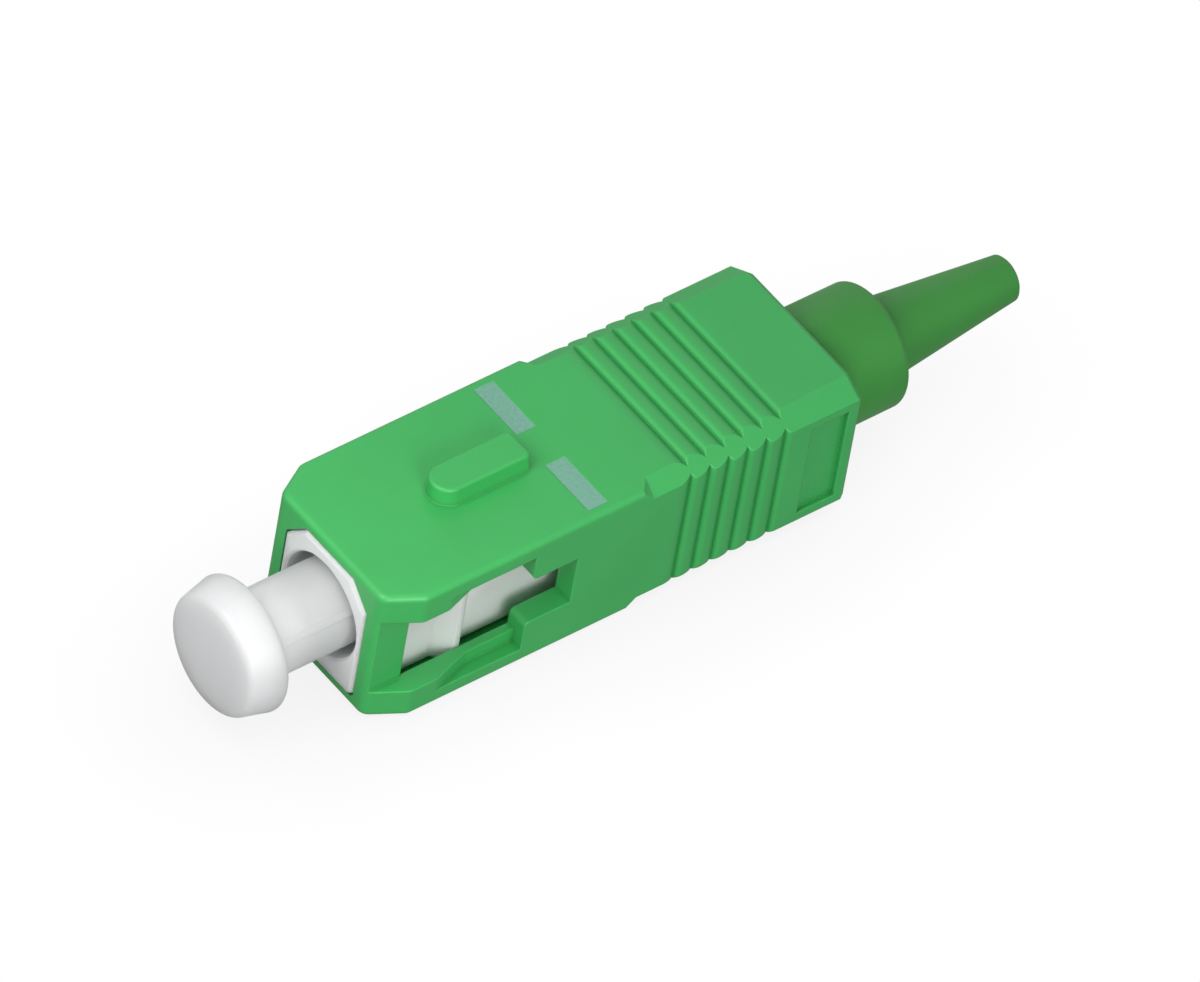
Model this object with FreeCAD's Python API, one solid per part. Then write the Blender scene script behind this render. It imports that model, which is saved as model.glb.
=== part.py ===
import FreeCAD, Part
import math
import os
from FreeCAD import Vector

# Push-pull fibre plug with an angled ferrule, a dust cap and a slim boot.
# +X runs from the mating face towards the boot and +Z is the key side.
# The origin lies on the ferrule axis, in the plane of the sleeve's front face.
# Sizes are in millimetres.

# Coupling sleeve, outer form
sleeve_length = 24.95
sleeve_width = 8.96
sleeve_height = 7.36
long_edge_radius = 0.30
nose_taper_length = 1.75
nose_taper_depth = 0.95
nose_corner_radius = 0.60
grip_length = 11.65
grip_run_in = 0.50
run_in_edge = 0.20
bevel_height = 0.60
bevel_width_front = 0.75
bevel_width_rear = 1.05
rear_edge_length = 0.20
rear_edge_depth = 0.12

# Grip waves and side panels
groove_count = 6
groove_pitch = 1.01
groove_depth = 0.24
groove_valley = 0.74
groove_lead = 1.85
panel_length = 2.00
panel_height = 5.20
panel_depth = 0.25
panel_margin = 0.65

# Key and index marks on the top face
key_start = 5.20
key_length = 4.65
key_width = 1.60
key_height = 0.92
key_draft = 0.10
key_corner_radius = 0.25
key_edge_radius = 0.15
mark_start = 10.57
mark_length = 1.00
mark_width = 2.98
mark_offset = 2.50
mark_depth = 0.10

# Side windows with the release cams
web_length = 1.80
web_depth = 0.93
window_length = 5.80
window_height = 4.30
flange_height = 0.83
cam_flat_end = 3.10
cam_ramp_length = 2.00
cam_ramp_depth = 0.63
notch_length = 2.40
notch_height = 2.70
notch_lift = 0.11
notch_corner_radius = 0.30

# Sleeve travel and its stop ribs
sleeve_travel = 1.50
rib_gap = 0.45
rib_length = 1.00
rib_height = 0.40
stop_clearance = 0.05
slide_clearance = 0.08

# Plug frame
plug_projection = 0.10
plug_width = 5.46
plug_height = 6.20
plug_corner = 1.15
plug_low_corner = 0.20
plug_rim_chamfer = 0.12
front_bore_radius = 2.45
front_bore_depth = 5.00
ear_start = 4.05
ear_ramp_length = 0.75
ear_crest_length = 0.30
ear_span = 6.70
ear_top = 2.50
ear_bottom = -2.90
side_recess = 0.13
collar_length = 3.20
collar_side = 0.45
shoulder_thickness = 1.60
ferrule_clearance = 0.20
chamber_radius = 2.30
chamber_key_length = 1.20
chamber_key_clearance = 0.06

# Ferrule, its flange and its liner
ferrule_radius = 1.2495
ferrule_length = 10.50
ferrule_projection = 1.50
ferrule_tip_chamfer = 0.45
ferrule_angle = 8.0
fibre_hole_radius = 0.065
funnel_length = 1.20
funnel_radius = 0.45
flange_length = 3.00
flange_clearance = 0.12
flange_slots = 4
flange_slot_width = 0.80
flange_slot_depth = 0.45
flange_tail_length = 1.80
flange_tail_wall = 0.45
ferrule_seat = 0.35
press_clearance = 0.01
liner_radius = 0.80
liner_wall = 0.30
liner_length = 7.40
seat_clearance = 0.02

# Spring and stop ring
spring_length = 4.80
spring_wire = 0.45
spring_turns = 4.0
wire_sides = 6
spring_clearance = 0.12
stop_nose_length = 2.00
stop_nose_clearance = 0.02
stop_flange_length = 1.00
stop_flange_radius = 3.00
tail_length = 6.20
tail_radius = 2.05
tail_groove_count = 3
tail_groove_pitch = 1.50
tail_groove_depth = 0.15
tail_groove_lead = 0.60
stop_bore_clearance = 0.30

# Boot
boot_collar_end = 29.25
boot_collar_radius = 2.95
boot_collar_draft = 0.05
boot_edge_radius = 0.30
boot_tail_length = 7.40
boot_tail_root_radius = 1.88
boot_tail_tip_radius = 1.07
boot_tip_chamfer = 0.12
boot_root_chamfer = 0.15
boot_grip_clearance = 0.02
boot_pocket_slack = 0.40
buffer_bore_radius = 0.50

# Dust cap
cap_head_gap = 3.97
cap_head_length = 1.80
cap_rim_radius = 3.20
cap_face_radius = 2.78
cap_rim_round = 0.25
cap_face_round = 0.35
cap_dish_depth = 0.06
cap_stem_radius = 2.00
cap_stem_length = 7.60
cap_bore_slack = 0.50
cap_grip_clearance = 0.02
cap_mouth_chamfer = 0.25
cap_rib_count = 2
cap_rib_width = 0.30
cap_rib_height = 0.05
cap_rib_angle = 148.0

# Places worked out from the sizes above
half_width = sleeve_width / 2
half_height = sleeve_height / 2
grip_start = sleeve_length - grip_length
groove_start = grip_start + groove_lead
window_end = web_length + window_length
notch_end = window_end + notch_length
web_face = half_width - web_depth
pocket_half_height = half_height - flange_height
port_half_width = plug_width / 2 + slide_clearance
cavity_half_width = ear_span / 2 + slide_clearance
cavity_half_height = plug_height / 2 + slide_clearance
rib_start = notch_end + rib_gap
rib_end = rib_start + rib_length
neck_start = rib_start - stop_clearance
neck_end = rib_end + sleeve_travel + stop_clearance
neck_half_height = cavity_half_height - rib_height - slide_clearance
plug_rear = neck_end + collar_length
ear_crest = ear_start + ear_ramp_length
ear_end = ear_crest + ear_crest_length
side_face = plug_width / 2 - side_recess
shoulder_rear = front_bore_depth + shoulder_thickness
flange_front = shoulder_rear + seat_clearance
flange_rear = flange_front + flange_length
flange_radius = chamber_radius - flange_clearance
ferrule_rear = ferrule_length - ferrule_projection
flange_tail_radius = liner_radius + press_clearance + flange_tail_wall
flange_tail_rear = flange_rear + flange_tail_length
stop_nose_front = flange_rear + spring_length
stop_bore_radius = liner_radius + stop_bore_clearance
stop_flange_rear = plug_rear + stop_flange_length
tail_rear = stop_flange_rear + tail_length
boot_tip = boot_collar_end + boot_tail_length
cap_face = -cap_head_gap - cap_head_length
cap_bore_radius = ferrule_radius + cap_grip_clearance
cap_stem_end = cap_stem_length - cap_head_gap

# Cutting tools run past the surface that they cut by this much
overrun = 1.0


def box(x_range, y_range, z_range):
    """A block between two limits along each axis."""
    low = Vector(x_range[0], y_range[0], z_range[0])
    size = [limits[1] - limits[0] for limits in (x_range, y_range, z_range)]
    return Part.makeBox(size[0], size[1], size[2], low)


def centred_box(x_range, half_y, half_z):
    """A block that is centred on the ferrule axis."""
    return box(x_range, (-half_y, half_y), (-half_z, half_z))


def rod(x_start, x_end, radius):
    """A cylinder along the ferrule axis."""
    return Part.makeCylinder(radius, x_end - x_start, Vector(x_start, 0, 0), Vector(1, 0, 0))


def face_from(points):
    """A flat face inside a closed outline."""
    return Part.Face(Part.makePolygon(points + [points[0]]))


def plan_prism(outline, z_low, z_high):
    """A prism that stands on an outline of (x, y) points."""
    points = [Vector(x, y, z_low) for x, y in outline]
    return face_from(points).extrude(Vector(0, 0, z_high - z_low))


def section_prism(outline, x_low, x_high):
    """A prism along the part from an outline of (y, z) points."""
    points = [Vector(x_low, y, z) for y, z in outline]
    return face_from(points).extrude(Vector(x_high - x_low, 0, 0))


def turned(profile):
    """A body of revolution from a closed profile of (x, radius) points."""
    points = [Vector(x, 0, radius) for x, radius in profile]
    return face_from(points).revolve(Vector(0, 0, 0), Vector(1, 0, 0), 360)


def mirrored_y(shape):
    return shape.mirror(Vector(0, 0, 0), Vector(0, 1, 0))


def mirrored_z(shape):
    return shape.mirror(Vector(0, 0, 0), Vector(0, 0, 1))


def pick_edges(shape, wanted):
    """The edges whose two ends both pass the test."""
    return [edge for edge in shape.Edges if all(wanted(vertex.Point) for vertex in edge.Vertexes)]


def round_edges(shape, x, radius):
    """The circular edges of a turned body at one place and radius."""
    found = []
    for edge in shape.Edges:
        if not isinstance(edge.Curve, Part.Circle):
            continue
        if abs(edge.Curve.Center.x - x) < 1e-6 and abs(edge.Curve.Radius - radius) < 1e-6:
            found.append(edge)
    return found


def around_axis(shape, count, start_angle):
    """Copies of a shape, evenly spaced about the ferrule axis."""
    copies = []
    for index in range(count):
        copy = shape.copy()
        copy.rotate(Vector(0, 0, 0), Vector(1, 0, 0), start_angle + 360.0 * index / count)
        copies.append(copy)
    return copies


def joined(shapes):
    return shapes[0].multiFuse(shapes[1:]).removeSplitter()


# Coupling sleeve

def sleeve_front():
    """The plain front of the sleeve, tapered in plan at its nose, with soft long edges."""
    nose = half_width - nose_taper_depth
    outline = [(0, -nose), (nose_taper_length, -half_width), (grip_start, -half_width),
               (grip_start, half_width), (nose_taper_length, half_width), (0, nose)]
    block = plan_prism(outline, -half_height, half_height)
    upright = pick_edges(block, lambda point: point.x <= nose_taper_length)
    upright = [edge for edge in upright if abs(edge.Vertexes[0].Z - edge.Vertexes[1].Z) > half_height]
    block = block.makeFillet(nose_corner_radius, upright)
    rim = [edge for edge in block.Edges
           if abs(abs(edge.CenterOfMass.z) - half_height) < 1e-6 and edge.CenterOfMass.x < grip_start - 1e-6]
    return block.makeFillet(long_edge_radius, rim)


def bevelled_section(x, width, height, bevel_y, bevel_z):
    """An eight-sided section of the grip."""
    corners = [(-width + bevel_y, -height), (width - bevel_y, -height), (width, -height + bevel_z),
               (width, height - bevel_z), (width - bevel_y, height), (-width + bevel_y, height),
               (-width, height - bevel_z), (-width, -height + bevel_z)]
    points = [Vector(x, y, z) for y, z in corners]
    return Part.makePolygon(points + [points[0]])


def sleeve_grip():
    """The grip, whose bevels start with a short run-in and widen towards the rear."""
    sections = [
        bevelled_section(grip_start, half_width, half_height, run_in_edge, run_in_edge),
        bevelled_section(grip_start + grip_run_in, half_width, half_height, bevel_width_front, bevel_height),
        bevelled_section(sleeve_length - rear_edge_length, half_width, half_height,
                         bevel_width_rear, bevel_height),
        bevelled_section(sleeve_length, half_width - rear_edge_depth, half_height - rear_edge_depth,
                         bevel_width_rear, bevel_height)]
    return Part.makeLoft(sections, True, True)


def arc(start, middle, end):
    return Part.Arc(start, middle, end).toShape()


def wave_tool(depth_axis, span):
    """A cutter with a row of grooves, for the face at the height of one half size.

    Each groove falls slowly to its valley and climbs back steeply. Both slopes are arcs
    that are level at the crests.
    """
    wave_end = groove_start + groove_count * groove_pitch

    def point(x, depth):
        return Vector(x, -span, depth_axis - depth)

    def slope(crest, valley):
        run = valley - crest
        radius = (run ** 2 + groove_depth ** 2) / (2 * groove_depth)
        half_turn = math.asin(abs(run) / radius) / 2
        middle = crest + math.copysign(radius * math.sin(half_turn), run)
        return point(middle, radius * (1 - math.cos(half_turn)))

    edges = []
    for index in range(groove_count):
        crest = groove_start + index * groove_pitch
        valley = crest + groove_valley * groove_pitch
        rise = crest + groove_pitch
        edges.append(arc(point(crest, 0), slope(crest, valley), point(valley, groove_depth)))
        edges.append(arc(point(valley, groove_depth), slope(rise, valley), point(rise, 0)))
    corners = [point(wave_end, 0), point(wave_end, -overrun), point(groove_start, -overrun),
               point(groove_start, 0)]
    for first, second in zip(corners, corners[1:]):
        edges.append(Part.LineSegment(first, second).toShape())
    return Part.Face(Part.Wire(edges)).extrude(Vector(0, 2 * span, 0))


def grip_waves():
    """Groove cutters for the top, the bottom and both sides of the grip."""
    top = wave_tool(half_height, half_width + overrun)
    side = wave_tool(half_width, half_height + overrun)
    side.rotate(Vector(0, 0, 0), Vector(1, 0, 0), 90)
    return [top, mirrored_z(top), side, mirrored_y(side)]


def side_panels():
    """Shallow bare panels on both sides of the grip, near its rear."""
    rear = sleeve_length - panel_margin
    panel = box((rear - panel_length, rear), (half_width - panel_depth, half_width + overrun),
                (-panel_height / 2, panel_height / 2))
    return [panel, mirrored_y(panel)]


def key_outline(z, half_key):
    """The key's outline at one height: round in front, square with soft corners behind."""
    front = key_start + half_key
    rear = key_start + key_length - (key_width / 2 - half_key)
    corner = key_corner_radius
    slant = corner * (1 - math.sqrt(0.5))

    def point(x, y):
        return Vector(x, y, z)

    return Part.Wire([
        arc(point(front, half_key), point(key_start, 0), point(front, -half_key)),
        Part.LineSegment(point(front, -half_key), point(rear - corner, -half_key)).toShape(),
        arc(point(rear - corner, -half_key), point(rear - slant, -half_key + slant),
            point(rear, -half_key + corner)),
        Part.LineSegment(point(rear, -half_key + corner), point(rear, half_key - corner)).toShape(),
        arc(point(rear, half_key - corner), point(rear - slant, half_key - slant),
            point(rear - corner, half_key)),
        Part.LineSegment(point(rear - corner, half_key), point(front, half_key)).toShape()])


def sleeve_key():
    """The raised key, drafted so that it leaves its mould, with a soft top edge."""
    top = half_height + key_height
    base = key_outline(half_height - mark_depth, key_width / 2 + key_draft)
    crown = key_outline(top, key_width / 2)
    key = Part.makeLoft([base, crown], True, True)
    rim = pick_edges(key, lambda point: abs(point.z - top) < 1e-6)
    return key.makeFillet(key_edge_radius, rim)


def mark_blocks():
    """The two index marks, which are also the shape of their pockets."""
    x_range = (mark_start, mark_start + mark_length)
    block = box(x_range, (mark_offset - mark_width / 2, mark_offset + mark_width / 2),
                (half_height - mark_depth, half_height))
    return [block, mirrored_y(block)]


def window_tool():
    """A cutter through both side walls: a tall window with a lower notch behind it."""
    half_window = window_height / 2
    half_notch = notch_height / 2
    reach = half_width + overrun
    window = box((web_length, window_end), (-reach, reach), (-half_window, half_window))
    notch = box((web_length, notch_end), (-reach, reach), (-half_notch, half_notch))
    corner = notch_corner_radius
    wedge = box((window_end, window_end + corner), (-reach, reach), (half_notch, half_notch + corner))
    rounding = Part.makeCylinder(corner, 2 * reach,
                                 Vector(window_end + corner, -reach, half_notch + corner), Vector(0, 1, 0))
    relief = wedge.cut(rounding)
    raised = joined([notch, relief, mirrored_z(relief)])
    raised.translate(Vector(0, 0, notch_lift))
    return joined([window, raised])


def cam_channels():
    """The recess outside each side web, and the deeper pocket that shapes the cams and lips."""
    half_window = window_height / 2
    outside = half_width + overrun
    channel = box((-overrun, window_end), (web_face, outside), (-half_window, half_window))
    ramp_end = cam_flat_end + cam_ramp_length
    lip_face = half_width - cam_ramp_depth
    slope = cam_ramp_depth / cam_ramp_length
    outline = [(cam_flat_end - overrun / slope, outside), (ramp_end, lip_face),
               (window_end, lip_face), (window_end, outside)]
    pocket = plan_prism(outline, -pocket_half_height, pocket_half_height)
    return [channel, mirrored_y(channel), pocket, mirrored_y(pocket)]


def sleeve_cavity():
    """The room inside: a port that fits the plug, then a wider space that clears its ears."""
    port = plug_section((-overrun, web_length), port_half_width, cavity_half_height)
    cavity = centred_box((web_length, sleeve_length + overrun), cavity_half_width, cavity_half_height)
    rib = box((rib_start, rib_end), (-cavity_half_width, cavity_half_width),
              (cavity_half_height - rib_height, cavity_half_height))
    return port.fuse(cavity).cut(joined([rib, mirrored_z(rib)]))


def coupling_sleeve():
    body = joined([sleeve_front(), sleeve_grip(), sleeve_key()])
    tools = grip_waves() + side_panels() + mark_blocks() + cam_channels()
    body = body.cut(tools)
    return body.cut([window_tool(), sleeve_cavity()]).removeSplitter()


def index_marks():
    return Part.makeCompound(mark_blocks())


# Plug frame

def plug_section(x_range, half_y, half_z):
    """A length of the frame, or of the port around it, with large upper and small lower corners."""
    outline = [(-half_y + plug_low_corner, -half_z), (half_y - plug_low_corner, -half_z),
               (half_y, -half_z + plug_low_corner), (half_y, half_z - plug_corner),
               (half_y - plug_corner, half_z), (-half_y + plug_corner, half_z),
               (-half_y, half_z - plug_corner), (-half_y, -half_z + plug_low_corner)]
    return section_prism(outline, x_range[0], x_range[1])


def latch_ear():
    """One ear: a ramp that lifts the adapter's hook, a short crest and a square shoulder."""
    outline = [(ear_start, plug_width / 2), (ear_crest, ear_span / 2), (ear_end, ear_span / 2),
               (ear_end, 0), (ear_start, 0)]
    return plan_prism(outline, ear_bottom, ear_top)


def front_bore():
    """A cutter for the bore around the ferrule, with a soft mouth."""
    mouth = -plug_projection
    wide = front_bore_radius + plug_rim_chamfer
    return turned([(mouth - overrun, 0), (mouth - overrun, wide), (mouth, wide),
                   (mouth + plug_rim_chamfer, front_bore_radius),
                   (front_bore_depth, front_bore_radius), (front_bore_depth, 0)])


def plug_frame():
    half_plug_height = plug_height / 2
    nose = plug_section((-plug_projection, ear_end), plug_width / 2, half_plug_height)
    rim = pick_edges(nose, lambda point: abs(point.x + plug_projection) < 1e-6)
    nose = nose.makeChamfer(plug_rim_chamfer, rim)
    waist = plug_section((ear_end, neck_start), side_face, half_plug_height)
    neck = centred_box((neck_start, neck_end), side_face, neck_half_height)
    collar = plug_section((neck_end, plug_rear), side_face + collar_side, half_plug_height)
    ear = latch_ear()
    body = joined([nose, waist, neck, collar, ear, mirrored_y(ear)])
    ferrule_hole = rod(0, plug_rear, ferrule_radius + ferrule_clearance)
    chamber = rod(shoulder_rear, plug_rear + overrun, chamber_radius).cut(chamber_keys())
    return body.cut([front_bore(), ferrule_hole, chamber]).removeSplitter()


def chamber_keys():
    """Keys behind the shoulder that enter the flange's slots and keep the angled tip upright."""
    half_key = flange_slot_width / 2 - chamber_key_clearance
    inner = flange_radius - flange_slot_depth + chamber_key_clearance
    key = box((shoulder_rear, shoulder_rear + chamber_key_length), (-half_key, half_key),
              (inner, chamber_radius + overrun))
    return around_axis(key, flange_slots, 0)


# Ferrule unit

def ferrule():
    """A ceramic rod with a fine hole, a funnel behind and an angled, chamfered tip."""
    tip = -ferrule_projection
    rear = ferrule_rear
    rim = ferrule_radius - ferrule_tip_chamfer / 2
    body = turned([(tip - overrun, fibre_hole_radius), (tip - overrun, rim), (tip, rim),
                   (tip + ferrule_tip_chamfer, ferrule_radius), (rear, ferrule_radius),
                   (rear, funnel_radius), (rear - funnel_length, fibre_hole_radius)])
    angle_tool = box((-3 * overrun, 0), (-2 * ferrule_radius, 2 * ferrule_radius),
                     (-2 * ferrule_radius, 2 * ferrule_radius))
    angle_tool.rotate(Vector(0, 0, 0), Vector(0, 1, 0), ferrule_angle)
    angle_tool.translate(Vector(tip, 0, 0))
    return body.cut(angle_tool)


def ferrule_flange():
    """The metal holder pressed on the ferrule, slotted so that it can't turn in the frame."""
    bore = ferrule_radius + press_clearance
    liner_bore = liner_radius + press_clearance
    body = turned([(flange_front, bore), (flange_front, flange_radius), (flange_rear, flange_radius),
                   (flange_rear, flange_tail_radius), (flange_tail_rear, flange_tail_radius),
                   (flange_tail_rear, liner_bore), (ferrule_rear + ferrule_seat, liner_bore),
                   (ferrule_rear, liner_bore), (ferrule_rear, bore)])
    slot = box((flange_front - overrun, flange_rear - flange_slot_depth),
               (-flange_slot_width / 2, flange_slot_width / 2),
               (flange_radius - flange_slot_depth, flange_radius + overrun))
    return body.cut(around_axis(slot, flange_slots, 0))


def ferrule_tube():
    """The soft liner that leads the fibre into the ferrule's funnel."""
    front = ferrule_rear + seat_clearance
    return rod(front, front + liner_length, liner_radius).cut(
        rod(front - overrun, front + liner_length + overrun, liner_radius - liner_wall))


def spring():
    """A compression spring, whose round wire is drawn with flat sides to keep it light."""
    wire_radius = spring_wire / 2
    mean_radius = chamber_radius - spring_clearance - wire_radius
    height = spring_length - spring_wire - 2 * seat_clearance
    helix = Part.makeHelix(height / spring_turns, height, mean_radius)
    corners = []
    for index in range(wire_sides):
        turn = 2 * math.pi * index / wire_sides
        corners.append(Vector(mean_radius + wire_radius * math.cos(turn), 0,
                              wire_radius * math.sin(turn)))
    section = Part.makePolygon(corners + [corners[0]])
    coil = Part.Wire(helix).makePipeShell([section], True, True)
    coil.rotate(Vector(0, 0, 0), Vector(0, 1, 0), 90)
    coil.translate(Vector(flange_rear + wire_radius + seat_clearance, 0, 0))
    return coil


# Stop ring and boot

def stop_ring():
    """The rear body: a nose in the frame, a flange against it and a ringed tail for the boot."""
    nose = chamber_radius - stop_nose_clearance
    profile = [(stop_nose_front, stop_bore_radius), (stop_nose_front, nose), (plug_rear, nose),
               (plug_rear, stop_flange_radius), (stop_flange_rear, stop_flange_radius),
               (stop_flange_rear, tail_radius)]
    for index in range(tail_groove_count):
        x = stop_flange_rear + tail_groove_lead + index * tail_groove_pitch
        profile += [(x, tail_radius), (x + tail_groove_pitch / 4, tail_radius - tail_groove_depth),
                    (x + tail_groove_pitch / 2, tail_radius)]
    profile += [(tail_rear, tail_radius), (tail_rear, stop_bore_radius)]
    return turned(profile)


def boot():
    """The soft boot: a collar over the ringed tail, then a slim cone for the buffered fibre."""
    bore = tail_radius + boot_grip_clearance
    pocket_end = tail_rear + boot_pocket_slack
    rim = boot_collar_radius - boot_collar_draft
    body = turned([(stop_flange_rear, 0), (stop_flange_rear, boot_collar_radius),
                   (boot_collar_end, rim), (boot_collar_end, boot_tail_root_radius),
                   (boot_tip, boot_tail_tip_radius), (boot_tip, 0)])
    body = body.makeFillet(boot_edge_radius, round_edges(body, boot_collar_end, rim))
    body = body.makeChamfer(boot_root_chamfer, round_edges(body, boot_collar_end, boot_tail_root_radius))
    body = body.makeChamfer(boot_tip_chamfer, round_edges(body, boot_tip, boot_tail_tip_radius))
    pocket = rod(stop_flange_rear - overrun, pocket_end, bore)
    fibre_bore = rod(pocket_end - overrun, boot_tip + overrun, buffer_bore_radius)
    return body.cut([pocket, fibre_bore])


# Dust cap

def dust_cap():
    """A soft cap: a tapered pull with a shallow dish, and a ribbed stem that grips the ferrule."""
    head_rear = -cap_head_gap
    body = turned([(cap_face, 0), (cap_face, cap_face_radius), (head_rear, cap_rim_radius),
                   (head_rear, cap_stem_radius), (cap_stem_end, cap_stem_radius), (cap_stem_end, 0)])
    body = body.makeFillet(cap_face_round, round_edges(body, cap_face, cap_face_radius))
    body = body.makeFillet(cap_rim_round, round_edges(body, head_rear, cap_rim_radius))
    body = body.makeChamfer(cap_mouth_chamfer, round_edges(body, cap_stem_end, cap_stem_radius))
    dish_radius = cap_face_radius - cap_face_round
    sphere_radius = (dish_radius ** 2 + cap_dish_depth ** 2) / (2 * cap_dish_depth)
    dish = Part.makeSphere(sphere_radius, Vector(cap_face + cap_dish_depth - sphere_radius, 0, 0))
    bore = rod(-ferrule_projection - cap_bore_slack, cap_stem_end + overrun, cap_bore_radius)
    rib = box((head_rear - cap_rim_round, cap_stem_end - cap_mouth_chamfer),
              (-cap_rib_width / 2, cap_rib_width / 2),
              (cap_bore_radius + cap_rib_height, cap_stem_radius + cap_rib_height))
    return joined([body] + around_axis(rib, cap_rib_count, cap_rib_angle - 90)).cut([dish, bore])


NODES = {
    "coupling_sleeve": coupling_sleeve,
    "index_marks": index_marks,
    "plug_frame": plug_frame,
    "ferrule": ferrule,
    "ferrule_flange": ferrule_flange,
    "ferrule_tube": ferrule_tube,
    "spring": spring,
    "stop_ring": stop_ring,
    "boot": boot,
    "dust_cap": dust_cap,
}


def main():
    os.makedirs("parts", exist_ok=True)
    for name, make in NODES.items():
        make().exportStep(os.path.join("parts", name + ".step"))


main()
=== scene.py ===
import math

import bpy
from bpy.props import FloatProperty, FloatVectorProperty, PointerProperty
from mathutils import Matrix, Vector


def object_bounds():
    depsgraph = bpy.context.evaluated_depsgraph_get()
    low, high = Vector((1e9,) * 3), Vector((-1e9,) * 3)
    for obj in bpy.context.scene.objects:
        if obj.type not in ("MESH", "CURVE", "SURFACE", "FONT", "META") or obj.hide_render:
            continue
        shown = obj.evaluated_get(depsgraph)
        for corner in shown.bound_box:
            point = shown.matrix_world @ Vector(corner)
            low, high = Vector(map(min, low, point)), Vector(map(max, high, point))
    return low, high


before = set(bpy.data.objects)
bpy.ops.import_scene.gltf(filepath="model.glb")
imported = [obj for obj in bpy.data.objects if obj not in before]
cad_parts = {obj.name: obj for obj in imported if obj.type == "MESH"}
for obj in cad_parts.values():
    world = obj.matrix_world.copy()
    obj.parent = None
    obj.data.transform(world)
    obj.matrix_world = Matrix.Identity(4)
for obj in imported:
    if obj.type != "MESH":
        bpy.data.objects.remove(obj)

bl_info = {
    "name": "Fibre Plug Looks",
    "version": (1, 0, 0),
    "blender": (4, 5, 0),
    "location": "3D View > Sidebar > Fibre Plug",
    "description": "Gives the fibre plug its moulded, turned and ground finishes, and a plain stage",
    "category": "Material",
}

MM = 0.001
FLOOR_GAP = 0.05 * MM          # keeps the underside clear of the floor
NOISE_LOW, NOISE_HIGH = 0.3, 0.7     # where most values of a noise texture lie
GRAIN_STRENGTH = 0.6
WAVE_TURN = 20.0               # a wave texture's phase for each unit of its scaled position
EVEN_SCATTER = (1.0, 1.0, 1.0)       # light of every colour travels equally far inside the plastic
WHITE = "#FFFFFF"
CAD_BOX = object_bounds()


def linear(hex_colour):
    """The linear red, green, blue and alpha of an sRGB colour such as "#45A35A"."""
    channels = [int(hex_colour[i:i + 2], 16) / 255 for i in (1, 3, 5)]
    return tuple(c / 12.92 if c <= 0.04045 else ((c + 0.055) / 1.055) ** 2.4 for c in channels) + (1.0,)


def colour_property(name, hex_colour, description):
    return FloatVectorProperty(name=name, description=description, subtype="COLOR", size=4,
                               min=0.0, max=1.0, default=linear(hex_colour))


def length_property(name, millimetres, description):
    return FloatProperty(name=name, description=description, unit="LENGTH", precision=5,
                         min=0.0, default=millimetres * MM)


def ratio_property(name, value, description):
    return FloatProperty(name=name, description=description, subtype="FACTOR",
                         min=0.0, max=1.0, default=value)


def place_property(name, millimetres, description):
    return FloatVectorProperty(name=name, description=description, subtype="XYZ", unit="LENGTH", size=3,
                               precision=5, default=[value * MM for value in millimetres])


def angle_property(name, degrees, description):
    return FloatProperty(name=name, description=description, unit="ROTATION",
                         default=math.radians(degrees))


def power_property(name, watts, description):
    return FloatProperty(name=name, description=description, unit="POWER", min=0.0, precision=4,
                         default=watts)


class PlugColours(bpy.types.PropertyGroup):
    """Colours of the plug's pieces."""
    sleeve: colour_property("Sleeve", "#3BAD59", "Green of the moulded coupling sleeve")
    boot: colour_property("Boot", "#328B34", "Darker green of the soft boot")
    mark: colour_property("Index Marks", "#76AD98", "Pale ink of the insertion marks")
    plug_frame: colour_property("Plug Frame", "#E8EDEB", "Cool white of the inner housing")
    cap: colour_property("Dust Cap", "#EDEEF0", "Milky natural plastic of the dust cap")
    ceramic: colour_property("Ferrule", "#F2F1EC", "White of the ceramic ferrule")
    liner: colour_property("Liner Tube", "#ECECE8", "Milky white of the liner tube")
    nickel: colour_property("Nickel", "#C9C5BC", "Warm grey of nickel plating")
    steel: colour_property("Spring Steel", "#B4B5B6", "Grey of drawn stainless wire")


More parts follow.
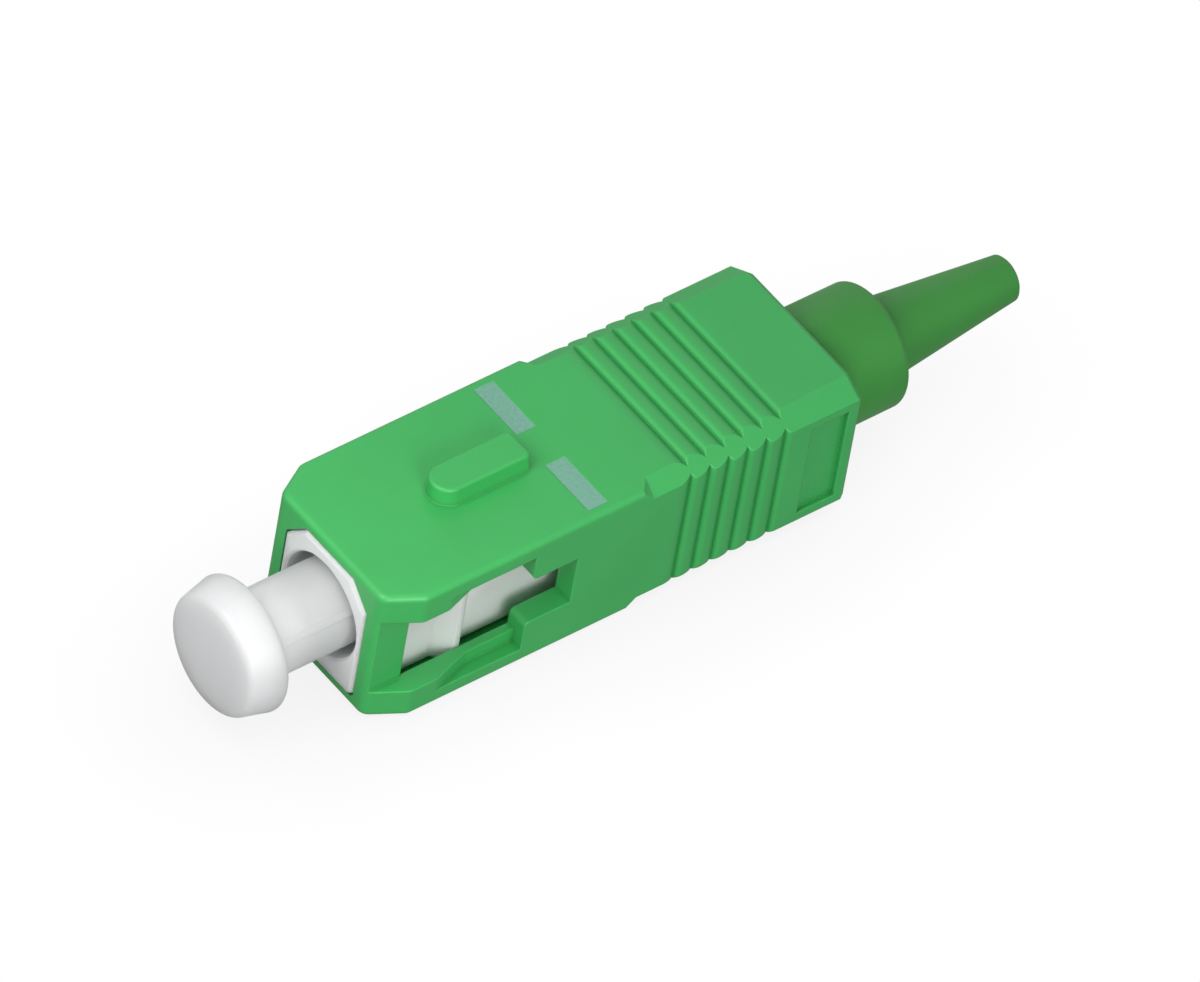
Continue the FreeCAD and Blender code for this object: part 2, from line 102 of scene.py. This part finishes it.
class PlugSurfaces(bpy.types.PropertyGroup):
    """Sizes and strengths of the surface detail."""
    cloud_size: length_property("Cloud Size", 4.0, "Width of the slow colour drift in moulded plastic")
    grain_size: length_property("Mould Grain", 0.16, "Width of the fine grain that a satin mould leaves")
    grain_depth: length_property("Grain Depth", 0.004, "Depth of the mould grain")
    edge_radius: length_property("Edge Radius", 0.1, "Radius that catches light along moulded edges")
    # Edge Tone sets a painted highlight: the colour along edges is brightened by this factor.
    edge_highlight_tone: FloatProperty(name="Edge Tone", description="Brightness of a moulded edge", default=1.2)
    # Groove Reach and the two groove tones set painted shade: the colour is darkened in grooves and corners
    # by ambient occlusion.
    painted_shade_reach: length_property("Groove Reach", 0.3, "Width of the grooves and corners that look deeper")
    lathe_pitch: length_property("Lathe Pitch", 0.12, "Spacing of the rings that turning leaves")
    sleeve_painted_shade_tone: ratio_property("Sleeve Groove Tone", 0.5, "Brightness deep in the sleeve's grooves")
    sleeve_roughness: ratio_property("Sleeve Roughness", 0.42, "Roughness of the satin sleeve")
    sleeve_glow: ratio_property("Sleeve Glow", 0.1, "Share of the light that passes into the sleeve")
    sleeve_light_reach: length_property("Sleeve Light Reach", 0.4, "How far light travels in the sleeve")
    frame_painted_shade_tone: ratio_property("Frame Groove Tone", 0.92, "Brightness deep in the frame's corners")
    frame_roughness: ratio_property("Frame Roughness", 0.4, "Roughness of the satin frame")
    frame_glow: ratio_property("Frame Glow", 0.9, "Share of the light that passes into the frame")
    frame_light_reach: length_property("Frame Light Reach", 1.5, "How far light travels in the frame")
    boot_roughness: ratio_property("Boot Roughness", 0.55, "Roughness of the soft boot")
    cap_roughness: ratio_property("Cap Roughness", 0.42, "Roughness of the dust cap")
    cap_clearness: ratio_property("Cap Clearness", 0.15, "Share of the light that passes through the cap")
    cap_light_reach: length_property("Cap Light Reach", 4.0, "How far light travels in the dust cap")


class PlugStage(bpy.types.PropertyGroup):
    """Camera, lamps and floor. Lamps are placed from the middle of the plug."""
    aim: place_property("Aim", (14.073, -0.954, 0.080), "Point that the camera looks at")
    azimuth: angle_property("Azimuth", -45.016, "Camera's turn round the plug; 0 looks along +Y")
    elevation: angle_property("Elevation", 46.652, "Camera's height above the horizon")
    roll: angle_property("Roll", 10.453, "Camera's turn about its own line of sight")
    distance: length_property("Distance", 1230.0, "Camera's distance from the aim point")
    lens: FloatProperty(name="Lens", description="Focal length of the camera in millimetres",
                        default=877.8)
    sensor: FloatProperty(name="Sensor", description="Width of the camera's sensor in millimetres",
                          default=36.0)
    floor: colour_property("Floor", WHITE, "Pale floor under the plug")
    floor_size: length_property("Floor Size", 1600.0, "Width of the floor")
    # Shadow Reach and Shadow Tone set a painted shadow on the floor, from ambient occlusion.
    shadow_reach: length_property("Shadow Reach", 7.0, "Width of the soft shadow on the floor")
    shadow_tone: ratio_property("Shadow Tone", 0.85, "Brightness of the shadow where the plug stands")
    mirror_tone: ratio_property("Mirror Tone", 0.35, "Brightness of the floor in the plug's highlights")
    key_place: place_property("Key Place", (-44.0, -3.0, 46.0), "Place of the lamp above the mating end")
    key_size: length_property("Key Size", 40.0, "Width of the key lamp")
    key_power: power_property("Key Power", 0.0235, "Power of the lamp above the mating end")
    fill_place: place_property("Fill Place", (-55.0, -140.0, 65.0), "Place of the lamp on the window side")
    fill_size: length_property("Fill Size", 80.0, "Width of the fill lamp")
    fill_power: power_property("Fill Power", 0.155, "Power of the lamp on the window side")
    back_place: place_property("Back Place", (50.0, 150.0, 35.0), "Place of the lamp on the far side")
    back_size: length_property("Back Size", 80.0, "Width of the back lamp")
    back_power: power_property("Back Power", 0.07, "Power of the lamp on the far side")
    sky_strength: FloatProperty(name="Sky Strength", description="Strength of the light from all round",
                                default=0.27)


def add(tree, kind, inputs=None, **settings):
    """Adds a node with its settings. An input takes a value, or a link where it is given a socket."""
    made = tree.nodes.new(kind)
    for name, value in settings.items():
        setattr(made, name, value)
    for name, value in (inputs or {}).items():
        if isinstance(value, bpy.types.NodeSocket):
            tree.links.new(value, made.inputs[name])
        else:
            made.inputs[name].default_value = value
    return made


def new_material(name):
    """An empty node material with its output, ready for a shader."""
    material = bpy.data.materials.new(name)
    material.use_nodes = True
    material.node_tree.nodes.clear()
    return material, material.node_tree


def shade(tree, inputs, distribution="MULTI_GGX"):
    """The principled shader, joined to the material's output."""
    shader = add(tree, "ShaderNodeBsdfPrincipled", inputs, distribution=distribution)
    add(tree, "ShaderNodeOutputMaterial", {"Surface": shader.outputs["BSDF"]})


def place(tree):
    """Positions on the piece at rest, in metres."""
    return add(tree, "ShaderNodeTexCoord").outputs["Object"]


def noise(tree, width, detail=2.0, roughness=0.5):
    """Noise whose blotches are about as wide as the given size, from 0 to 1."""
    return add(tree, "ShaderNodeTexNoise", {"Vector": place(tree), "Scale": 1.0 / width, "Detail": detail,
                                            "Roughness": roughness}).outputs["Fac"]


def remap(tree, value, low, high, to_low, to_high):
    return add(tree, "ShaderNodeMapRange", {"Value": value, "From Min": low, "From Max": high,
                                            "To Min": to_low, "To Max": to_high}).outputs["Result"]


def varied(tree, width, lowest, highest, detail=2.0, roughness=0.5):
    """A value that drifts between two limits, in blotches about as wide as the given size."""
    return remap(tree, noise(tree, width, detail, roughness), NOISE_LOW, NOISE_HIGH, lowest, highest)


def tinted(tree, colour, amount):
    """A colour whose brightness is multiplied by a drifting amount near 1."""
    return add(tree, "ShaderNodeHueSaturation", {"Color": colour, "Value": amount}).outputs["Color"]


def shaded_by_painted_occlusion(tree, colour, reach, lowest):
    """A colour with painted shade: darker in grooves and corners by ambient occlusion, down to the lowest
    brightness given.
    """
    openness = add(tree, "ShaderNodeAmbientOcclusion", {"Distance": reach}, samples=6).outputs["AO"]
    return tinted(tree, colour, remap(tree, openness, 0.2, 0.9, lowest, 1.0))


def painted_edge_highlight(tree, colour, rounded, tone):
    """A colour with a painted highlight: paler along edges, where the rounded normals part from the flat
    ones.
    """
    flat = add(tree, "ShaderNodeNewGeometry").outputs["Normal"]
    likeness = add(tree, "ShaderNodeVectorMath", {0: rounded, 1: flat},
                   operation="DOT_PRODUCT").outputs["Value"]
    return tinted(tree, colour, remap(tree, likeness, 0.92, 1.0, tone, 1.0))


def soft_edges(tree, radius):
    """Normals rounded over sharp edges."""
    return add(tree, "ShaderNodeBevel", {"Radius": radius}, samples=6).outputs["Normal"]


def grain_bump(tree, width, depth, normal):
    return add(tree, "ShaderNodeBump", {"Height": noise(tree, width, 3.0), "Distance": depth,
                                        "Strength": GRAIN_STRENGTH, "Normal": normal}).outputs["Normal"]


def moulded_pbt(name, colour, surfaces, roughness, glow, light_reach, painted_shade_tone):
    """PBT, injection moulded in a satin tool.

    The eye gets an even satin face with a slow drift in colour, a faint grain, a painted highlight
    along edges and painted shade in grooves and corners.
    """
    material, tree = new_material(name)
    rounded = soft_edges(tree, surfaces.edge_radius)
    drifting = tinted(tree, colour, varied(tree, surfaces.cloud_size, 0.97, 1.03))
    # Painted highlight: the colour is made paler along edges.
    body = painted_edge_highlight(tree, drifting, rounded, surfaces.edge_highlight_tone)
    # Painted shade: the colour is darkened in grooves and corners by ambient occlusion.
    body = shaded_by_painted_occlusion(tree, body, surfaces.painted_shade_reach, painted_shade_tone)
    gloss = varied(tree, surfaces.grain_size, roughness - 0.03, roughness + 0.03, 3.0)
    shade(tree, {"Base Color": body, "Roughness": gloss, "IOR": 1.5,
                 "Normal": grain_bump(tree, surfaces.grain_size, surfaces.grain_depth, rounded),
                 "Subsurface Weight": glow, "Subsurface Radius": EVEN_SCATTER,
                 "Subsurface Scale": light_reach})
    return material


def moulded_polyethylene(name, colour, surfaces):
    """Natural polyethylene, injection moulded. The eye gets a milky body that light passes into."""
    material, tree = new_material(name)
    rounded = soft_edges(tree, surfaces.edge_radius)
    shade(tree, {"Base Color": tinted(tree, colour, varied(tree, surfaces.cloud_size, 0.98, 1.0)),
                 "Roughness": surfaces.cap_roughness, "IOR": 1.51,
                 "Normal": grain_bump(tree, surfaces.grain_size, surfaces.grain_depth, rounded),
                 "Transmission Weight": surfaces.cap_clearness, "Subsurface Weight": 1.0,
                 "Subsurface Radius": EVEN_SCATTER, "Subsurface Scale": surfaces.cap_light_reach})
    return material


def moulded_elastomer(name, colour, surfaces):
    """Thermoplastic elastomer, moulded. The eye gets a deeper, softer satin than hard plastic has."""
    material, tree = new_material(name)
    rounded = soft_edges(tree, surfaces.edge_radius)
    roughness = surfaces.boot_roughness
    gloss = varied(tree, surfaces.grain_size, roughness - 0.04, roughness + 0.04, 3.0)
    shade(tree, {"Base Color": tinted(tree, colour, varied(tree, surfaces.cloud_size, 0.95, 1.05)),
                 "Roughness": gloss, "IOR": 1.5,
                 "Normal": grain_bump(tree, surfaces.grain_size, surfaces.grain_depth, rounded),
                 "Sheen Weight": 0.08, "Sheen Roughness": 0.5})
    return material


def marking_ink(name, colour, surfaces):
    """Pad-printed ink that fills a shallow recess. The eye gets a flat, slightly speckled pale patch."""
    material, tree = new_material(name)
    speckle = varied(tree, surfaces.grain_size, 0.9, 1.06, roughness=0.7)
    shade(tree, {"Base Color": tinted(tree, colour, speckle), "Roughness": 0.6, "IOR": 1.5})
    return material


def lathe_rings(tree, pitch):
    """Fine rings round the X axis, a little uneven, from 0 to 1."""
    return add(tree, "ShaderNodeTexWave",
               {"Vector": place(tree), "Scale": math.tau / pitch / WAVE_TURN, "Distortion": 0.6,
                "Detail": 1.0, "Detail Scale": 1.0},
               wave_type="BANDS", bands_direction="X").outputs["Fac"]


def ground_zirconia(name, colour, surfaces):
    """Zirconia ceramic, ground round. The eye gets a dense white with a clean glassy highlight."""
    material, tree = new_material(name)
    tone = remap(tree, lathe_rings(tree, surfaces.lathe_pitch), 0.0, 1.0, 0.985, 1.0)
    shade(tree, {"Base Color": tinted(tree, colour, tone), "Roughness": 0.18, "IOR": 2.1,
                 "Subsurface Weight": 0.2, "Subsurface Radius": EVEN_SCATTER,
                 "Subsurface Scale": 0.3 * MM})
    return material


def turned_nickel(name, colour, surfaces):
    """Nickel plate over turned brass. The eye gets a warm grey metal with rings from the tool.

    The rings are drawn coarser than a tool leaves them, so that they show.
    """
    material, tree = new_material(name)
    rings = lathe_rings(tree, surfaces.lathe_pitch)
    bump = add(tree, "ShaderNodeBump", {"Height": rings, "Distance": 0.003 * MM, "Strength": 0.5})
    shade(tree, {"Base Color": tinted(tree, colour, remap(tree, rings, 0.0, 1.0, 0.96, 1.02)),
                 "Roughness": remap(tree, rings, 0.0, 1.0, 0.24, 0.34), "Metallic": 1.0,
                 "Normal": bump.outputs["Normal"]})
    return material


def drawn_stainless(name, colour, surfaces):
    """Stainless wire, drawn and coiled. The eye gets a bright wire with a faint uneven grain."""
    material, tree = new_material(name)
    shade(tree, {"Base Color": tinted(tree, colour, varied(tree, surfaces.grain_size, 0.9, 1.05)),
                 "Roughness": varied(tree, surfaces.grain_size, 0.22, 0.36), "Metallic": 1.0})
    return material


def extruded_ptfe(name, colour, surfaces):
    """PTFE tube, extruded. The eye gets a waxy white with no hard highlight."""
    material, tree = new_material(name)
    shade(tree, {"Base Color": tinted(tree, colour, varied(tree, surfaces.cloud_size, 0.96, 1.0)),
                 "Roughness": 0.45, "IOR": 1.35, "Subsurface Weight": 0.5,
                 "Subsurface Radius": EVEN_SCATTER, "Subsurface Scale": 0.5 * MM})
    return material


def dress(node, material):
    """Gives a carried-over node its finish in every slot."""
    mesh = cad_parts[node].data
    mesh.materials.clear()
    mesh.materials.append(material)


class PLUG_OT_sleeve(bpy.types.Operator):
    """Finish the coupling sleeve as satin green moulded plastic"""
    bl_idname = "fibre_plug.sleeve"
    bl_label = "Coupling Sleeve"

    def execute(self, context):
        scene = context.scene
        surfaces = scene.plug_surfaces
        dress("coupling_sleeve",
              moulded_pbt("satin_green_pbt", scene.plug_colours.sleeve, surfaces,
                          surfaces.sleeve_roughness, surfaces.sleeve_glow,
                          surfaces.sleeve_light_reach, surfaces.sleeve_painted_shade_tone))
        return {"FINISHED"}


class PLUG_OT_index_marks(bpy.types.Operator):
    """Finish the two insertion marks as printed ink"""
    bl_idname = "fibre_plug.index_marks"
    bl_label = "Index Marks"

    def execute(self, context):
        scene = context.scene
        dress("index_marks", marking_ink("pale_marking_ink", scene.plug_colours.mark, scene.plug_surfaces))
        return {"FINISHED"}


class PLUG_OT_plug_frame(bpy.types.Operator):
    """Finish the inner housing as white moulded plastic"""
    bl_idname = "fibre_plug.plug_frame"
    bl_label = "Plug Frame"

    def execute(self, context):
        scene = context.scene
        surfaces = scene.plug_surfaces
        dress("plug_frame",
              moulded_pbt("satin_white_pbt", scene.plug_colours.plug_frame, surfaces,
                          surfaces.frame_roughness, surfaces.frame_glow,
                          surfaces.frame_light_reach, surfaces.frame_painted_shade_tone))
        return {"FINISHED"}


class PLUG_OT_ferrule_unit(bpy.types.Operator):
    """Finish the ferrule, its flange, its liner and its spring"""
    bl_idname = "fibre_plug.ferrule_unit"
    bl_label = "Ferrule Unit"

    def execute(self, context):
        scene = context.scene
        colours = scene.plug_colours
        surfaces = scene.plug_surfaces
        dress("ferrule", ground_zirconia("ground_zirconia", colours.ceramic, surfaces))
        dress("ferrule_flange", turned_nickel("flange_nickel", colours.nickel, surfaces))
        dress("ferrule_tube", extruded_ptfe("liner_ptfe", colours.liner, surfaces))
        dress("spring", drawn_stainless("drawn_stainless", colours.steel, surfaces))
        return {"FINISHED"}


class PLUG_OT_rear_body(bpy.types.Operator):
    """Finish the stop ring and the boot"""
    bl_idname = "fibre_plug.rear_body"
    bl_label = "Stop Ring and Boot"

    def execute(self, context):
        scene = context.scene
        surfaces = scene.plug_surfaces
        dress("stop_ring", turned_nickel("ring_nickel", scene.plug_colours.nickel, surfaces))
        dress("boot", moulded_elastomer("soft_green_elastomer", scene.plug_colours.boot, surfaces))
        return {"FINISHED"}


class PLUG_OT_dust_cap(bpy.types.Operator):
    """Finish the dust cap as milky natural plastic"""
    bl_idname = "fibre_plug.dust_cap"
    bl_label = "Dust Cap"

    def execute(self, context):
        scene = context.scene
        dress("dust_cap", moulded_polyethylene("natural_polyethylene", scene.plug_colours.cap,
                                               scene.plug_surfaces))
        return {"FINISHED"}


def build_world(stage):
    """Soft light from all round. It is plain white where it is seen, in highlights and through the cap."""
    world = bpy.data.worlds.new("studio_surround")
    world.use_nodes = True
    tree = world.node_tree
    tree.nodes.clear()
    path = add(tree, "ShaderNodeLightPath").outputs
    seen = path["Is Camera Ray"]
    for kind in ("Is Glossy Ray", "Is Transmission Ray"):
        seen = add(tree, "ShaderNodeMath", {0: seen, 1: path[kind]}, operation="MAXIMUM").outputs["Value"]
    strength = remap(tree, seen, 0.0, 1.0, stage.sky_strength, 1.0)
    light = add(tree, "ShaderNodeBackground", {"Color": linear(WHITE), "Strength": strength})
    add(tree, "ShaderNodeOutputWorld", {"Surface": light.outputs["Background"]})
    bpy.context.scene.world = world


def floor_material(stage):
    """Clear acrylic sheet over white, with a painted soft shadow: darker near the plug by ambient occlusion.
    It lets light up to the underside.
    """
    material, tree = new_material("clear_acrylic_sheet")
    # Painted shadow: the sheet's colour is darkened near the plug by ambient occlusion, not cast by the
    # lamps.
    openness = add(tree, "ShaderNodeAmbientOcclusion", {"Distance": stage.shadow_reach},
                   samples=8).outputs["AO"]
    shadow = tinted(tree, stage.floor, remap(tree, openness, 0.0, 1.0, stage.shadow_tone, 1.0))
    # Painted reflection: in glossy rays the sheet shows darker than it is seen.
    glossy = add(tree, "ShaderNodeLightPath").outputs["Is Glossy Ray"]
    shadow = tinted(tree, shadow, remap(tree, glossy, 0.0, 1.0, 1.0, stage.mirror_tone))
    sheet = add(tree, "ShaderNodeBsdfTransparent", {"Color": shadow})
    add(tree, "ShaderNodeOutputMaterial", {"Surface": sheet.outputs["BSDF"]})
    return material


def build_floor(stage):
    low, high = CAD_BOX
    half = stage.floor_size / 2
    centre = (low + high) / 2
    corners = [(centre.x + x * half, centre.y + y * half, low.z - FLOOR_GAP)
               for x, y in ((-1, -1), (1, -1), (1, 1), (-1, 1))]
    mesh = bpy.data.meshes.new("floor")
    mesh.from_pydata(corners, [], [(0, 1, 2, 3)])
    mesh.materials.append(floor_material(stage))
    floor = bpy.data.objects.new("floor", mesh)
    bpy.context.scene.collection.objects.link(floor)


def build_lamp(name, position, target, size, power):
    """A square soft box at a position, turned to face the target. Returns its object."""
    lamp = bpy.data.lights.new(name, "AREA")
    lamp.shape = "SQUARE"
    lamp.size = size
    lamp.energy = power
    item = bpy.data.objects.new(name, lamp)
    item.location = position
    item.rotation_euler = (Vector(target) - Vector(position)).to_track_quat("-Z", "Y").to_euler()
    bpy.context.scene.collection.objects.link(item)
    return item


def build_camera(stage):
    turn = (Matrix.Rotation(stage.azimuth, 4, "Z")
            @ Matrix.Rotation(math.radians(90) - stage.elevation, 4, "X")
            @ Matrix.Rotation(stage.roll, 4, "Z"))
    camera = bpy.data.objects.new("camera", bpy.data.cameras.new("camera"))
    camera.matrix_world = Matrix.Translation(stage.aim) @ turn @ Matrix.Translation((0, 0, stage.distance))
    camera.data.lens = stage.lens
    camera.data.sensor_width = stage.sensor
    bpy.context.scene.collection.objects.link(camera)
    bpy.context.scene.camera = camera


class PLUG_OT_stage(bpy.types.Operator):
    """Set up the floor, the lamps, the surround and the camera"""
    bl_idname = "fibre_plug.stage"
    bl_label = "Stage"

    def execute(self, context):
        scene = context.scene
        stage = scene.plug_stage
        scene.view_settings.view_transform = "Standard"
        low, high = CAD_BOX
        centre = (low + high) / 2
        build_world(stage)
        build_floor(stage)
        build_lamp("key_softbox", centre + Vector(stage.key_place), centre, stage.key_size,
                   stage.key_power)
        build_lamp("fill_softbox", centre + Vector(stage.fill_place), centre, stage.fill_size,
                   stage.fill_power)
        back = build_lamp("back_softbox", centre + Vector(stage.back_place), centre, stage.back_size,
                          stage.back_power)
        back.visible_glossy = False
        build_camera(stage)
        return {"FINISHED"}


PIECE_OPERATORS = (PLUG_OT_sleeve, PLUG_OT_index_marks, PLUG_OT_plug_frame, PLUG_OT_ferrule_unit,
                   PLUG_OT_rear_body, PLUG_OT_dust_cap, PLUG_OT_stage)


class PLUG_PT_looks(bpy.types.Panel):
    """Lists the plug's settings and the steps that build its looks"""
    bl_idname = "PLUG_PT_looks"
    bl_label = "Fibre Plug"
    bl_space_type = "VIEW_3D"
    bl_region_type = "UI"
    bl_category = "Fibre Plug"

    def draw(self, context):
        layout = self.layout
        for group in (context.scene.plug_colours, context.scene.plug_surfaces, context.scene.plug_stage):
            box = layout.box()
            for name in group.__annotations__:
                box.prop(group, name)
        for operator in PIECE_OPERATORS:
            layout.operator(operator.bl_idname)


CLASSES = (PlugColours, PlugSurfaces, PlugStage) + PIECE_OPERATORS + (PLUG_PT_looks,)


def register():
    for item in CLASSES:
        bpy.utils.register_class(item)
    bpy.types.Scene.plug_colours = PointerProperty(type=PlugColours)
    bpy.types.Scene.plug_surfaces = PointerProperty(type=PlugSurfaces)
    bpy.types.Scene.plug_stage = PointerProperty(type=PlugStage)


def unregister():
    del bpy.types.Scene.plug_stage
    del bpy.types.Scene.plug_surfaces
    del bpy.types.Scene.plug_colours
    for item in reversed(CLASSES):
        bpy.utils.unregister_class(item)


def main():
    register()
    bpy.ops.fibre_plug.sleeve()
    bpy.ops.fibre_plug.index_marks()
    bpy.ops.fibre_plug.plug_frame()
    bpy.ops.fibre_plug.ferrule_unit()
    bpy.ops.fibre_plug.rear_body()
    bpy.ops.fibre_plug.dust_cap()
    bpy.ops.fibre_plug.stage()


if __name__ == "__main__":
    main()
